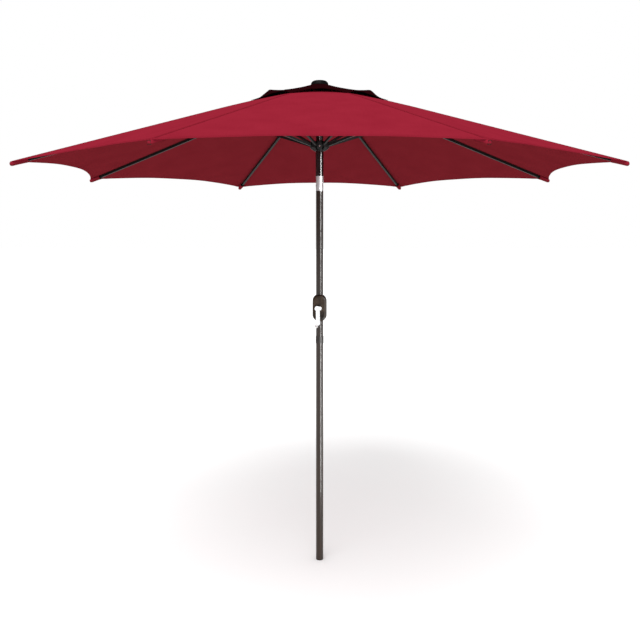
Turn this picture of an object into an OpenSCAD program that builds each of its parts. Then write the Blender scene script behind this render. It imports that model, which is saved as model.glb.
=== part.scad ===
// Market umbrella with eight ribs, a crank lift and a tilting canopy, in millimetres.
// +Z is up and the origin is the centre of the pole's lower end.
// The front, where the crank is, faces -Y. The canopy tilts towards +X.
// Everything is drawn with the canopy open and upright.

/* [Canopy] */
// Distance from the pole's axis to a rib's tip
canopy_r = 1500; // [1200:10:1800]
// Height of the pins that the ribs swing on
crown_z = 2474; // [2200:2:3000]
// Slope of the inner part of a rib, in degrees
rib_slope = 16.3; // [14:0.1:19]
// How much steeper the outer part of a rib is, in degrees
rib_bend = 1.0; // [0:0.1:3]
// Thickness of the cloth
cloth_t = 1.2; // [1:0.1:2]
// How far the hem between two ribs is cut back from a straight line
hem_inset = 95; // [0:5:150]
// How far the cloth droops between two ribs, at its hem
hem_sag = 6; // [0:1:30]
// Distance from the pole's axis to the cloth's inner edge
cloth_inner_r = 112; // [100:2:160]
// Distance from the pole's axis to a corner of the wind vent's cap
vent_r = 375; // [300:5:420]
// How far the vent cap's hem is cut back between two ribs
vent_inset = 50; // [40:2:100]
// How far the vent cap stands up between two ribs, at its hem
vent_arch = 30; // [0:2:40]
// The same at its two sides, where the wind has lifted it
vent_side_arch = 68; // [30:2:74]

/* [Ribs and struts] */
// Distance from the pole's axis to the pins of ribs and struts
pivot_r = 34; // [32:1:40]
// Length from a rib's crown pin to its strut's pin, which is the strut's length too
brace_l = 490; // [440:5:520]
// How far the strut's pin hangs below the middle of its rib
brace_drop = 15; // [14:1:20]
// Width of a rib
rib_w = 12; // [10:1:13]
// Depth of a rib
rib_h = 14; // [12:1:14]
// Width of a strut
strut_w = 10; // [8:1:11]
// Depth of a strut
strut_h = 12; // [10:1:12]
// Wall of the rib and strut tubes
rib_wall = 0.9; // [0.8:0.1:1.5]
// Radius of the rib pins and of the studs on the struts
pin_r = 2.2; // [1.8:0.1:2.4]

/* [Hubs] */
// Radius of the crown and of the runner
hub_r = 50; // [46:1:56]
// Height of the runner
runner_h = 50; // [46:1:56]
// Radius of the runner's bore, which clears the sleeve and the hinge
runner_bore_r = 22; // [21.8:0.1:23]
// Height of the finial
finial_h = 25; // [20:1:40]
// Radius of the finial
finial_r = 46; // [40:1:50]

/* [Pole] */
// Outer diameter of both poles
pole_d = 38; // [36:0.5:38]
// Wall of the poles
pole_wall = 1.2; // [1:0.1:1.5]
// Height of the joint between the lower and the crank pole
joint_z = 1137; // [1000:1:1180]
// Height of the ring at that joint
collar_h = 36; // [30:1:50]
// How deep the crank pole's neck goes into the lower pole
neck_l = 120; // [90:5:150]
// Wall of the lining that the neck slides in
lining_t = 1.05; // [0.8:0.05:1.5]
// Height of the plug's flange under the lower pole
plug_flange = 3; // [2:0.5:5]

/* [Crank] */
// Height of the crank's shaft
crank_z = 1323; // [1280:1:1380]
// Height of the crank's housing
housing_h = 137; // [120:1:150]
// Width of the housing
housing_w = 74; // [70:1:84]
// Depth of the housing
housing_d = 80; // [76:1:90]
// Wall of the housing
housing_wall = 2.6; // [2:0.1:3]
// Radius of the crank's shaft
shaft_r = 4; // [3.5:0.1:4.5]
// Radius of the drum's flanges
drum_r = 12; // [10.5:0.1:12.5]
// Radius of the drum's core
drum_core_r = 6.5; // [6:0.1:7]
// Distance from the shaft to the knob's axis
crank_l = 93; // [80:1:110]
// How far the knob is to the side of straight down, in degrees
crank_lean = 10.5; // [5:0.5:15]
// Diameter of the lift cord
cord_d = 2.5; // [2:0.1:2.6]

/* [Tilt hinge] */
// How far the hinge's pin is below the crown
tilt_drop = 488; // [440:1:560]
// Distance of the hinge's pin from the pole's axis
tilt_x = 15; // [14.5:0.1:15]
// Radius of the hinge's lugs
lug_r = 6.3; // [5.5:0.1:6.3]
// Height of the lower knuckle's ring
lower_ring_h = 50; // [44:1:60]
// Height of the upper knuckle's ring
upper_ring_h = 27; // [22:1:40]
// Length of the sleeve above the upper knuckle
sleeve_l = 139; // [100:1:150]
// Radius of the sleeve's top, which the runner passes over
sleeve_r = 21.5; // [21:0.1:21.6]
// Radius of the tilt button
button_r = 6; // [5:0.1:6.5]

/* [Hidden] */
$fn = 64;
RIBS = 8;
STEP = 360 / RIBS;
HALF = STEP / 2;
free = 0.3;      // gap between pieces that must not touch
fit = 0.15;      // gap round a piece that is pushed in
run = 0.05;      // gap round a pin that turns
seat = 0.2;      // gap between pieces stacked on each other

pole_r = pole_d / 2;
pole_in = pole_r - pole_wall;

// The brace: crown pin, strut pin and runner pin make a triangle with two sides of brace_l.
brace_tilt = asin(brace_drop / brace_l);
brace_slope = rib_slope + brace_tilt;
brace_x = sqrt(brace_l * brace_l - brace_drop * brace_drop);
runner_z = crown_z - 2 * brace_l * sin(brace_slope);
rib_kink_r = pivot_r + brace_x * cos(rib_slope);
rib_kink_z = crown_z - brace_x * sin(rib_slope);
outer_slope = rib_slope + rib_bend;
outer_l = (canopy_r - rib_kink_r) / cos(outer_slope);
slot_w = rib_w + 0.8;
runner_slot_w = strut_w + 0.8;
stud_l = 3;      // how far a strut's stud stands out on each side
cheek_t = 2;     // wall of the bracket under a rib
tip_cap_l = 16;  // length of a rib's end cap
tip_cap_t = 1;   // how far the end cap stands out

// The crown.
crown_low = crown_z - 22;
crown_floor = crown_z + rib_h / 2 + 2;  // the ribs stay below this
crown_top = crown_floor + 5;
pole_top = crown_z - 6;
finial_z = crown_top + cloth_t + 2 * seat;
stud_r = 4;      // the finial's screw

// The hinge.
tilt_z = crown_z - tilt_drop;
crank_pole_top = tilt_z - lower_ring_h;
upper_ring_low = tilt_z + 0.5;
canopy_pole_low = tilt_z + upper_ring_h;
knuckle_r = pole_in - fit;
lug_y = 6.5;     // half the space between the lower lugs
lug_t = 4;       // thickness of a lower lug
cord_hole_r = cord_d / 2 + 1.5;
button_z = tilt_z - 24;
button_travel = 4;

// The pulley under the crown.
cord_out_y = -(pole_r + 6.5);
pulley_y = cord_out_y / 2;
pulley_z = crown_low - 18;
pulley_groove_r = -pulley_y - cord_d / 2;
pulley_r = pulley_groove_r + 2;
pulley_w = 6;

// The joint between the poles.
lining_r = pole_in - fit;
lining_in = lining_r - lining_t;
neck_r = lining_in - 4 * run;
lining_l = 50;
collar_floor = 4;
collar_r = pole_r + 1.6;
crank_pole_low = joint_z + collar_floor + seat;

// The vent cap and the cloth lie on the ribs.
cloth_lift = rib_h / 2 + 2;
vent_lift = 12;
CLOTH_ROWS = 10;
CLOTH_COLUMNS = 8;

function rib_azimuth(k) = STEP * (k - 1) + HALF;
function panel_azimuth(k) = STEP * (k - 1);

// ---------------------------------------------------------------- helpers

// A round tube that stands on z = low.
module tube(r, inner, low, high) {
    translate([0, 0, low]) difference() {
        cylinder(r = r, h = high - low);
        translate([0, 0, -1]) cylinder(r = inner, h = high - low + 2);
    }
}

// A cylinder along Y, from y = from to y = to, through (x, z).
module along_y(r, from, to, x = 0, z = 0) {
    translate([x, to, z]) rotate([90, 0, 0]) cylinder(r = r, h = to - from);
}

// A cylinder along X, from x = from to x = to, through (y, z).
module along_x(r, from, to, y = 0, z = 0) {
    translate([from, y, z]) rotate([0, 90, 0]) cylinder(r = r, h = to - from);
}

// A closed solid between two grids of points with the same rows and columns.
module cloth_solid(top, bottom, rows, columns) {
    n = rows * columns;
    function at(row, column) = row * columns + column;
    faces_top = [for (r = [0:rows - 2], c = [0:columns - 2], half = [0, 1])
        half == 0 ? [at(r, c), at(r + 1, c), at(r + 1, c + 1)]
                  : [at(r, c), at(r + 1, c + 1), at(r, c + 1)]];
    faces_bottom = [for (f = faces_top) [n + f[2], n + f[1], n + f[0]]];
    rim = concat(
        [for (c = [0:columns - 2]) at(0, c)],
        [for (r = [0:rows - 2]) at(r, columns - 1)],
        [for (c = [columns - 1:-1:1]) at(rows - 1, c)],
        [for (r = [rows - 1:-1:1]) at(r, 0)]);
    m = len(rim);
    faces_rim = [for (i = [0:m - 1], half = [0, 1])
        half == 0 ? [rim[i], rim[(i + 1) % m], n + rim[(i + 1) % m]]
                  : [rim[i], n + rim[(i + 1) % m], n + rim[i]]];
    polyhedron(concat(top, bottom), concat(faces_top, faces_bottom, faces_rim));
}

// ---------------------------------------------------------------- pole

module lower_pole() {
    color("#40322b") tube(pole_r, pole_in, plug_flange, joint_z);
}

module pole_end_plug() {
    stem_h = 30;
    color("#1b1a19") difference() {
        union() {
            cylinder(r1 = pole_r - 1.5, r2 = pole_r, h = plug_flange);
            cylinder(r = pole_in - fit, h = plug_flange + stem_h);
        }
        translate([0, 0, plug_flange]) cylinder(r = pole_in - 4, h = stem_h + 1);
    }
}

module pole_collar() {
    color("#2c241f") {
        tube(collar_r, lining_in, joint_z, joint_z + collar_floor);
        tube(collar_r, pole_r + fit, joint_z, joint_z + collar_h);
        tube(lining_r, lining_in, joint_z - lining_l, joint_z + 1);
    }
}

module crank_pole() {
    neck_wall = 1.4;
    color("#40322b") difference() {
        union() {
            tube(pole_r, pole_in, crank_pole_low, crank_pole_top);
            tube(neck_r, neck_r - neck_wall, crank_pole_low - neck_l, crank_pole_low + 1);
            tube(pole_in + 0.5, neck_r - neck_wall, crank_pole_low, crank_pole_low + 3);
        }
        along_y(bushing_r + fit, -pole_r - 1, pole_r + 1, 0, crank_z);
    }
}

// ---------------------------------------------------------------- crank

bushing_r = shaft_r + 2;
bushing_head_r = bushing_r + 3;
shaft_front = -housing_d / 2 - 14;
shaft_rear = pole_r + 8;
arm_y = shaft_front + 2;     // the arm's outer face
arm_t = 6;

// The housing's outer shape, made smaller by inset on every side.
module housing_shape(inset = 0) {
    edge = 12;
    corner = 34 - inset;
    half_w = housing_w / 2 - inset;
    half_h = housing_h / 2 - inset;
    half_d = housing_d / 2 - inset;
    translate([0, 0, crank_z]) hull()
        for (x = [-1, 1], z = [-1, 1])
            translate([x * (half_w - corner), 0, z * (half_h - corner)])
                rotate([90, 0, 0]) {
                    cylinder(r = corner, h = 2 * (half_d - edge), center = true, $fn = 48);
                    cylinder(r = corner - edge, h = 2 * half_d, center = true, $fn = 48);
                    cylinder(r = corner - edge * 0.3, h = 2 * (half_d - edge * 0.3),
                             center = true, $fn = 48);
                }
}

screw_x = pole_r + 9;
screw_z = 26;
screw_r = 1.6;
boss_r = 4.5;

module at_screws() {
    for (x = [-1, 1], z = [-1, 1]) translate([x * screw_x, 0, crank_z + z * screw_z]) children();
}

// One half of the housing: side is -1 for the front and 1 for the rear.
module housing_half(side) {
    intersection() {
        translate([-housing_w, side > 0 ? seat / 2 : -housing_d - seat / 2, crank_z - housing_h])
            cube([2 * housing_w, housing_d, 2 * housing_h]);
        difference() {
            union() {
                difference() {
                    housing_shape();
                    housing_shape(housing_wall);
                }
                at_screws() rotate([90, 0, 0])
                    cylinder(r = boss_r, h = housing_d - 2 * housing_wall, center = true);
            }
            translate([0, 0, crank_z - housing_h]) cylinder(r = pole_r + fit, h = 2 * housing_h);
            at_screws() rotate([90, 0, 0])
                cylinder(r = screw_r + run, h = housing_d - 8, center = true);
            if (side > 0) at_screws() translate([0, housing_d / 2 - 7, 0]) rotate([-90, 0, 0])
                cylinder(r = 3.6, h = 20);
            if (side > 0) at_screws() rotate([-90, 0, 0]) cylinder(r = screw_r + run, h = housing_d);
            if (side < 0) along_y(shaft_r + 3, -housing_d, 0, 0, crank_z);
        }
    }
}

module housing_front() { color("#3d342d") housing_half(-1); }

module housing_rear() { color("#3d342d") housing_half(1); }

module housing_screws() {
    head_y = housing_d / 2 - 7;
    color("silver") at_screws() {
        translate([0, head_y, 0]) rotate([90, 0, 0]) cylinder(r = screw_r, h = head_y + 22);
        translate([0, head_y + 2.4, 0]) rotate([90, 0, 0]) difference() {
            cylinder(r = 3.2, h = 2.4);
            translate([-0.4, -2.4, -1]) cube([0.8, 4.8, 1.9]);
        }
    }
}

module shaft_bushings() {
    color("#d8d4c8") for (side = [-1, 1])
        translate([0, side * (pole_in - 2.6), crank_z]) rotate([side * -90, 0, 0])
            difference() {
                union() {
                    cylinder(r = bushing_r, h = pole_wall + 6);
                    translate([0, 0, pole_wall + 3.6]) cylinder(r = bushing_head_r, h = 2.4);
                }
                translate([0, 0, -1]) cylinder(r = shaft_r + run, h = pole_wall + 8);
            }
}

brake_low = -housing_d / 2 + housing_wall + 1.4;

module brake_spring() {
    wire_r = 1.1;
    turns = 5;
    color("#6b6f73") for (i = [0:turns - 1])
        translate([0, brake_low + i * (2 * wire_r + 0.2), crank_z]) rotate([90, 0, 0])
            rotate_extrude($fn = 48) translate([shaft_r + 1.6 + wire_r, 0])
                circle(r = wire_r, $fn = 16);
}

module crank_shaft() {
    color("silver") {
        along_y(shaft_r, shaft_front + 1, shaft_rear, 0, crank_z);
        along_y(shaft_r + 1.5, brake_low - 2, brake_low + 11.5, 0, crank_z);
    }
}

drum_half = sqrt(pow(pole_in - 1.18, 2) - drum_r * drum_r);   // its corners clear the tube
flange_t = 1.5;

module cord_drum() {
    color("#e4e0d6") difference() {
        union() {
            along_y(drum_core_r, -drum_half, drum_half, 0, crank_z);
            for (y = [-drum_half, drum_half - flange_t])
                along_y(drum_r, y, y + flange_t, 0, crank_z);
        }
        along_y(shaft_r + run, -drum_half - 1, drum_half + 1, 0, crank_z);
    }
}

// Children are placed with the shaft's axis at the origin and the arm pointing down.
module crank_place() {
    translate([0, 0, crank_z]) rotate([0, crank_lean, 0]) children();
}

module crank_arm() {
    head_r = 13;         // the arm's round head, beside the shaft
    head_x = -13;
    nose_r = 8;          // the part of the head over the shaft
    bar_r = 10;          // half the arm's width
    bar_x = -8;
    bar_end = 14;        // how far above the knob the arm's wide part ends
    link_r = 6;
    knob_x = -crank_l * sin(crank_lean);
    knob_z = -crank_l * cos(crank_lean);
    module bar(from, from_r, to, to_r) {
        hull() {
            translate(from) cylinder(r = from_r, h = arm_t, $fn = 32);
            translate(to) cylinder(r = to_r, h = arm_t, $fn = 32);
        }
    }
    color("#e3e5e6") difference() {
        union() {
            // the boss that the shaft goes into
            along_y(head_r - 3, shaft_front + 1, -housing_d / 2 - 1, 0, crank_z);
            translate([0, arm_y, crank_z]) rotate([90, 0, 0]) {
                bar([head_x, 0], head_r, [0, -2], nose_r);
                bar([bar_x - 2, -4], bar_r, [bar_x, knob_z + bar_end], bar_r - 0.5);
                bar([bar_x - 1, knob_z + bar_end], link_r, [knob_x, knob_z], link_r);
            }
        }
        crank_place() along_y(2.5 + run, arm_y - arm_t - 1, arm_y + 1, 0, -crank_l);
        along_y(shaft_r + run, shaft_front + 0.9, 0, 0, crank_z);
    }
}

knob_front = arm_y - arm_t - 26;

module knob_rivet() {
    color("silver") crank_place() {
        along_y(2.5, knob_front - 2, arm_y + 1.5, 0, -crank_l);
        along_y(4.5, knob_front - 4, knob_front - 2 + 0.1, 0, -crank_l);
        along_y(4.5, arm_y + 0.1, arm_y + 2, 0, -crank_l);
    }
}

module crank_knob() {
    length = 25;
    color("#f2f2ef") crank_place()
        translate([0, arm_y - arm_t - 0.5, -crank_l]) rotate([90, 0, 0])
            rotate_extrude() polygon(concat(
                [[2.5 + 2 * run, 0], [6, 0]],
                [for (i = [0:8]) let (a = i * 22.5)
                    [6.5 + 1.7 * sin(a), 3 + (length - 6) * i / 8]],
                [[5.6, length - 1], [4.4, length], [2.5 + 2 * run, length]]));
}

// ---------------------------------------------------------------- lift cord

winding_r = drum_core_r + 1.9 * cord_d;   // two layers of cord
winding_x = winding_r + cord_d / 2 + free;
cord_side_z = crank_z + 80;    // the cord stays to the side up to here
cord_bend_z = cord_side_z + 0.549 * (tilt_z - cord_side_z);   // and is in the middle from here

// The cord's turns on the drum, as one solid of their outer shape.
module cord_winding() {
    color("#e8e6df") translate([0, drum_half - flange_t - 0.1, crank_z]) rotate([90, 0, 0])
        tube(winding_r, drum_core_r + run, 0, 2 * (drum_half - flange_t) - 0.2);
}

// An upright cord through points given as [x, z], swept with eight sides.
module upright_cord(route) {
    sides = 8;
    n = len(route);
    points = [for (p = route, i = [0:sides - 1])
        [p[0] + cord_d / 2 * cos(i * 45), cord_d / 2 * sin(i * 45), p[1]]];
    function at(row, i) = row * sides + i % sides;
    walls = [for (row = [0:n - 2], i = [0:sides - 1])
        [at(row, i), at(row + 1, i), at(row + 1, i + 1), at(row, i + 1)]];
    polyhedron(points, concat(walls, [[for (i = [0:sides - 1]) i]],
        [[for (i = [sides - 1:-1:0]) at(n - 1, i)]]));
}

module lift_cord_lower() {
    color("#e8e6df") upright_cord([
        [winding_x, crank_z], [winding_x, cord_side_z], [0, cord_bend_z], [0, tilt_z - 2]]);
}

module lift_cord_upper() {
    color("#e8e6df") {
        translate([0, 0, tilt_z + 2]) cylinder(r = cord_d / 2, h = pulley_z - tilt_z - 2);
        translate([0, pulley_y, pulley_z]) rotate([0, -90, 0]) rotate([0, 0, -90])
            rotate_extrude(angle = 180) translate([-pulley_y, 0]) circle(r = cord_d / 2, $fn = 24);
    }
}

module lift_cord_drop() {
    low = runner_z + runner_h / 2 + 0.1;
    color("#e8e6df") translate([0, cord_out_y, low]) cylinder(r = cord_d / 2, h = pulley_z - low);
}

// ---------------------------------------------------------------- tilt hinge

// The space that the runner leaves for the hinge as it passes over.
module lug_clearance() {
    translate([0, 0, tilt_z - pole_r]) cylinder(r = runner_bore_r - 0.5, h = pole_d);
}

module tilt_lower_knuckle() {
    pocket = tilt_x - lug_r - 0.7;
    color("#c9ccce") difference() {
        union() {
            difference() {
                union() {
                    translate([0, 0, crank_pole_top]) cylinder(r = pole_r, h = lower_ring_h);
                    translate([0, 0, crank_pole_top - 40]) cylinder(r = knuckle_r, h = 41);
                }
                // room for the upper knuckle's edge, the pin's heads and the middle lug
                translate([tilt_x - 4, -pole_r, tilt_z - 4]) cube([pole_d, pole_d, 20]);
                translate([pocket, -lug_y, tilt_z - lug_r - 1.2]) cube([pole_d, 2 * lug_y, 20]);
            }
            intersection() {
                for (side = [-1, 1])
                    along_y(lug_r, side > 0 ? lug_y : -lug_y - lug_t,
                            side > 0 ? lug_y + lug_t : -lug_y, tilt_x, tilt_z);
                lug_clearance();
            }
        }
        along_y(pin_r + run / 5, -pole_r, pole_r, tilt_x, tilt_z);
        translate([0, 0, crank_pole_top - 41]) cylinder(r = cord_hole_r, h = lower_ring_h + 42);
        // the button's bore and its wider chamber, open to the inside
        along_x(button_r + run, -pole_r - 1, 0, 0, button_z);
        along_x(button_r + 2, -pole_r + 3, -cord_hole_r - 0.6, 0, button_z);
    }
}

module tilt_pin() {
    end = lug_y + lug_t;
    color("silver") union() {
        along_y(pin_r, -end - 0.5, end + 0.5, tilt_x, tilt_z);
        for (side = [-1, 1])
            along_y(pin_r + 1, side > 0 ? end + 0.1 : -end - 1.1,
                    side > 0 ? end + 1.1 : -end - 0.1, tilt_x, tilt_z);
    }
}

button_in = -cord_hole_r - 1.6 - button_travel;   // the button's inner end at rest

module tilt_button() {
    color("#d5d7d8") difference() {
        union() {
            along_x(button_r, -pole_r - 1.2, button_in, 0, button_z);
            along_x(button_r + 1.6, -pole_r + 3.2, -pole_r + 5, 0, button_z);
        }
        along_x(button_r - 1.4, -pole_r + 4, button_in + 1, 0, button_z);
    }
}

module button_spring() {
    wire_r = 0.5;
    from = -pole_r + 5;
    to = -cord_hole_r - 1.4;
    turns = 4;
    color("#8a8d90") for (i = [0:turns - 1])
        translate([from + wire_r + (to - from - 2 * wire_r) * i / (turns - 1), 0, button_z])
            rotate([0, 90, 0]) rotate_extrude($fn = 48)
                translate([button_r - 2.2, 0]) circle(r = wire_r, $fn = 16);
}

module tilt_upper_knuckle() {
    gap = lug_r + 0.7;
    color("#c9ccce") difference() {
        union() {
            difference() {
                union() {
                    translate([0, 0, upper_ring_low])
                        cylinder(r = pole_r, h = canopy_pole_low - upper_ring_low);
                    translate([0, 0, canopy_pole_low - 1]) cylinder(r = knuckle_r, h = 51);
                }
                // room for the lower knuckle's lugs
                translate([tilt_x - gap, -pole_r, tilt_z]) cube([pole_d, pole_d, gap + 0.5]);
            }
            // the middle lug, tied to the ring above it
            intersection() {
                along_y(lug_r, -lug_y + free, lug_y - free, tilt_x, tilt_z);
                lug_clearance();
            }
            intersection() {
                translate([tilt_x - gap, -lug_y + free, upper_ring_low])
                    cube([2 * gap, 2 * (lug_y - free), gap + 1]);
                translate([0, 0, tilt_z]) cylinder(r = pole_r, h = 30);
            }
        }
        along_y(pin_r + run, -pole_r, pole_r, tilt_x, tilt_z);
        translate([0, 0, tilt_z]) cylinder(r = cord_hole_r, h = 200);
    }
}

module tilt_sleeve() {
    sleeve_low = canopy_pole_low + seat;
    color("#141414") rotate_extrude() polygon([
        [pole_r + fit, sleeve_low], [pole_r + 1.2, sleeve_low], [pole_r + 1.5, sleeve_low + 1],
        [sleeve_r, sleeve_low + sleeve_l - 8], [sleeve_r, sleeve_low + sleeve_l - 1],
        [sleeve_r - 0.8, sleeve_low + sleeve_l], [pole_r + fit, sleeve_low + sleeve_l]]);
}

module canopy_pole() {
    color("#231d1a") difference() {
        tube(pole_r, pole_in, canopy_pole_low, pole_top);
        // the window that the pulley and the cord go through
        translate([-pulley_w / 2 - 1, -pole_d, pulley_z - pulley_r - 2])
            cube([pulley_w + 2, pole_d, 2 * pulley_r + 4]);
        along_x(pin_r + run / 5, -pole_r, pole_r, pulley_y, pulley_z);
    }
}

// ---------------------------------------------------------------- crown

// Slots for the ribs or struts, cut outwards from radius from.
module hub_slots(width, from, low, high) {
    for (k = [1:RIBS]) rotate([0, 0, rib_azimuth(k)])
        translate([from, -width / 2, low]) cube([hub_r, width, high - low]);
}

module crown() {
    slot_from = pivot_r - rib_h / 2 - 1;
    color("#171717") difference() {
        union() {
            translate([0, 0, crown_low]) cylinder(r = hub_r, h = crown_top - crown_low - 2);
            translate([0, 0, crown_top - 2]) cylinder(r1 = hub_r, r2 = hub_r - 2, h = 2);
        }
        translate([0, 0, crown_low - 1]) cylinder(r = pole_r + fit, h = pole_top - crown_low + 1.2);
        hub_slots(slot_w, slot_from, crown_low - 1, crown_floor);
        for (k = [1:RIBS]) rotate([0, 0, rib_azimuth(k)])
            along_y(pin_r + run / 5, -slot_w / 2 - 3.6, slot_w / 2 + 3.6, pivot_r, crown_z);
        translate([0, 0, pole_top - 1]) cylinder(r = stud_r + run, h = 60);
    }
}

module crown_pins() {
    half = slot_w / 2 + 3.5;
    color("silver") for (k = [1:RIBS]) rotate([0, 0, rib_azimuth(k)])
        along_y(pin_r, -half, half, pivot_r, crown_z);
}

module cord_pulley() {
    color("#dad6cb") translate([pulley_w / 2, pulley_y, pulley_z]) rotate([0, -90, 0])
        rotate_extrude() polygon([
            [pin_r + run, 0], [pulley_r, 0], [pulley_r, 0.8],
            [pulley_groove_r - 0.2, pulley_w / 2 - 1.4], [pulley_groove_r - 0.2, pulley_w / 2 + 1.4],
            [pulley_r, pulley_w - 0.8], [pulley_r, pulley_w], [pin_r + run, pulley_w]]);
}

module pulley_pin() {
    half = sqrt(pole_r * pole_r - pulley_y * pulley_y) - 0.6;
    color("silver") along_x(pin_r, -half, half, pulley_y, pulley_z);
}

module finial() {
    color("#141212") {
        translate([0, 0, finial_z]) rotate_extrude() polygon(concat(
            [[0, 0], [finial_r - 2, 0], [finial_r, 2], [finial_r, 4.5]],
            [for (i = [1:8]) let (a = i * 10)
                [finial_r - 18 + 18 * cos(a), 4.5 + (finial_h - 4.5) * sin(a)]],
            [[finial_r - 19, finial_h], [0, finial_h]]));
        translate([0, 0, pole_top + 2]) cylinder(r = stud_r, h = finial_z - pole_top - 1);
    }
}

// ---------------------------------------------------------------- runner

module runner() {
    low = runner_z - runner_h / 2;
    high = runner_z + runner_h / 2;
    slot_from = pivot_r - strut_h / 2 - 0.5;
    groove_r = pin_r + 0.3;
    color("#161616") difference() {
        rotate_extrude() polygon([
            [runner_bore_r, low], [slot_from - 1, low], [hub_r - 10, low + 8], [hub_r, low + 17],
            [hub_r, high - 3], [hub_r - 3, high], [runner_bore_r, high]]);
        hub_slots(runner_slot_w, slot_from, low - 1, high + 1);
        // the grooves that hold the struts' studs, open at the bottom
        for (k = [1:RIBS]) rotate([0, 0, rib_azimuth(k)]) {
            half = runner_slot_w / 2 + stud_l;
            along_y(groove_r, -half, half, pivot_r, runner_z);
            translate([pivot_r - groove_r, -half, low - 1])
                cube([2 * groove_r, 2 * half, runner_z - low + 1]);
        }
        along_y(1.6, -hub_r - 1, -hub_r + 12, 0, low + 22);
    }
}

module cord_anchor() {
    low = runner_z - runner_h / 2;
    color("#d0d2d3") {
        along_y(1.5, -hub_r - 0.5, -hub_r + 11, 0, low + 22);
        along_y(4, -hub_r - 2.6, -hub_r - 0.1, 0, low + 22);
    }
}

// ---------------------------------------------------------------- ribs

module rect_tube(length, width, depth, wall) {
    translate([0, -width / 2, -depth / 2]) difference() {
        cube([length, width, depth]);
        translate([wall * 4, wall, wall])
            cube([length - wall * 8, width - 2 * wall, depth - 2 * wall]);
    }
}

module rib(k) {
    cheek_l = 26;
    color("#1d1917") rotate([0, 0, rib_azimuth(k)]) translate([pivot_r, 0, crown_z])
        rotate([0, rib_slope, 0]) difference() {
            union() {
                along_y(rib_h / 2, -rib_w / 2, rib_w / 2);
                rect_tube(brace_x, rib_w, rib_h, rib_wall);
                translate([brace_x, 0, 0]) rotate([0, rib_bend, 0]) {
                    translate([-1, 0, 0]) rect_tube(outer_l + 1, rib_w, rib_h, rib_wall);
                    translate([outer_l - tip_cap_l, -rib_w / 2 - tip_cap_t, -rib_h / 2 - tip_cap_t])
                        cube([tip_cap_l, rib_w + 2 * tip_cap_t, rib_h + tip_cap_t]);
                }
                // the bracket that the strut hangs in
                for (side = [-1, 1]) translate([brace_x, side * (rib_w / 2 + cheek_t / 2 - 0.01), 0])
                    rotate([90, 0, 0]) translate([0, 0, -cheek_t / 2]) {
                        translate([-cheek_l / 2, -rib_h / 2, 0]) cube([cheek_l, rib_h - 3, cheek_t]);
                        translate([-6, -brace_drop, 0]) cube([12, brace_drop, cheek_t]);
                        translate([0, -brace_drop, 0]) cylinder(r = 6, h = cheek_t);
                    }
            }
            along_y(pin_r + run, -rib_w, rib_w);
            translate([brace_x, 0, -brace_drop])
                along_y(pin_r + run, -rib_w, rib_w);
        }
}

module strut(k) {
    stud_out = rib_w / 2 + cheek_t + 0.8;
    color("#1d1917") rotate([0, 0, rib_azimuth(k)]) translate([pivot_r, 0, runner_z])
        rotate([0, -brace_slope, 0]) {
            rect_tube(brace_l, strut_w, strut_h, rib_wall);
            for (x = [0, brace_l]) translate([x, 0, 0])
                along_y(strut_h / 2, -strut_w / 2, strut_w / 2);
            along_y(pin_r, -strut_w / 2 - stud_l, strut_w / 2 + stud_l);
            translate([brace_l, 0, 0]) along_y(pin_r, -stud_out, stud_out);
        }
}

// ---------------------------------------------------------------- cloth

// Height of a rib's middle line at radius r.
function rib_line(r) = r < rib_kink_r
    ? crown_z - (r - pivot_r) * tan(rib_slope)
    : rib_kink_z - (r - rib_kink_r) * tan(outer_slope);

// A point of a panel's lower face: s goes from the inner edge to the hem, t from rib to rib.
function cloth_point(s, t) =
    let (r = cloth_inner_r + (canopy_r - cloth_inner_r) * s,
         bow = 1 - t * t,
         inset = hem_inset * pow(s, 3) * bow,
         rise = inset * tan(outer_slope) / cos(HALF),
         sag = hem_sag * s * bow)
    [r * cos(HALF) - inset, t * (r * sin(HALF) - free),
     rib_line(r) + cloth_lift + 0.6 + rise - sag];

// The vent cap lies flat on the crown out to here, and slopes down from there.
vent_flat_r = hub_r / cos(HALF) + 3;
VENT_ROWS = 6;

// A point of the vent cap's lower face, in one of its eight parts. Row 0 is the inner edge.
function vent_point(row, t, arch_h) =
    let (s = row == 0 ? 0 : (row - 1) / (VENT_ROWS - 2),
         r = row == 0 ? finial_r - 16 : vent_flat_r + (vent_r - vent_flat_r) * s,
         bow = 1 - t * t,
         inset = vent_inset * pow(s, 2) * bow,
         flat_z = crown_top + seat,
         tip_z = rib_line(vent_r) + cloth_lift + vent_lift,
         arch = arch_h * pow(s, 1.5) * bow)
    [r * cos(HALF) - inset, t * r * sin(HALF), flat_z - (flat_z - tip_z) * s + arch];

module canopy_panel(k) {
    low = [for (i = [0:CLOTH_ROWS - 1], j = [0:CLOTH_COLUMNS - 1])
        cloth_point(i / (CLOTH_ROWS - 1), 2 * j / (CLOTH_COLUMNS - 1) - 1)];
    color("#9b2837") rotate([0, 0, panel_azimuth(k)])
        cloth_solid([for (p = low) p + [0, 0, cloth_t]], low, CLOTH_ROWS, CLOTH_COLUMNS);
}

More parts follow.
